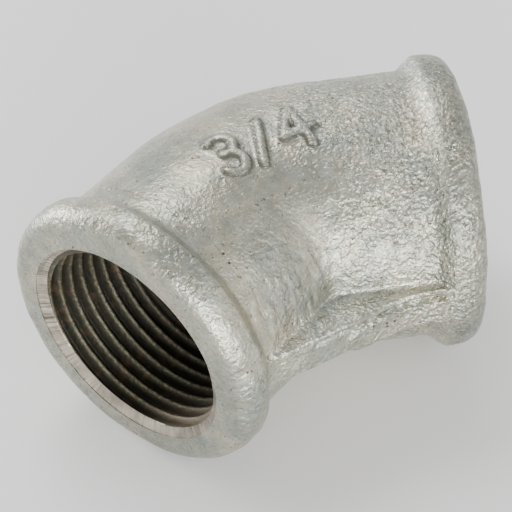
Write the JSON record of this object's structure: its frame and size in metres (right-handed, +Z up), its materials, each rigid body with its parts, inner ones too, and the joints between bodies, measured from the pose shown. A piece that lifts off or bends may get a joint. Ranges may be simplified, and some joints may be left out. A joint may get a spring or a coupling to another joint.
{
  "type": "pipe elbow",
  "caption": "45 degree elbow in galvanised malleable iron: a short beaded pipe bend with an internally threaded port at each end and a rib inside the bend.",
  "frame": {"origin": "on the surface that the elbow lies on, under the middle of its bounding box; the port axes meet at (0, 0.005250, 0.0179)", "axes": "+Z up, across the elbow, at right angles to the plane of the bend; +X from the front port towards the rear port; +Y out of the outside of the bend, so both ports open towards -Y"},
  "size_m": [0.0584, 0.04, 0.0358],
  "materials": {
    "galvanised_iron": "hot-dip galvanised rough casting, satin grey zinc with fine sparkle; bare machined iron in the threads and countersinks"
  },
  "bodies": {
    "root": {"elbow_casting": "galvanised_iron"}
  },
  "joints": []
}
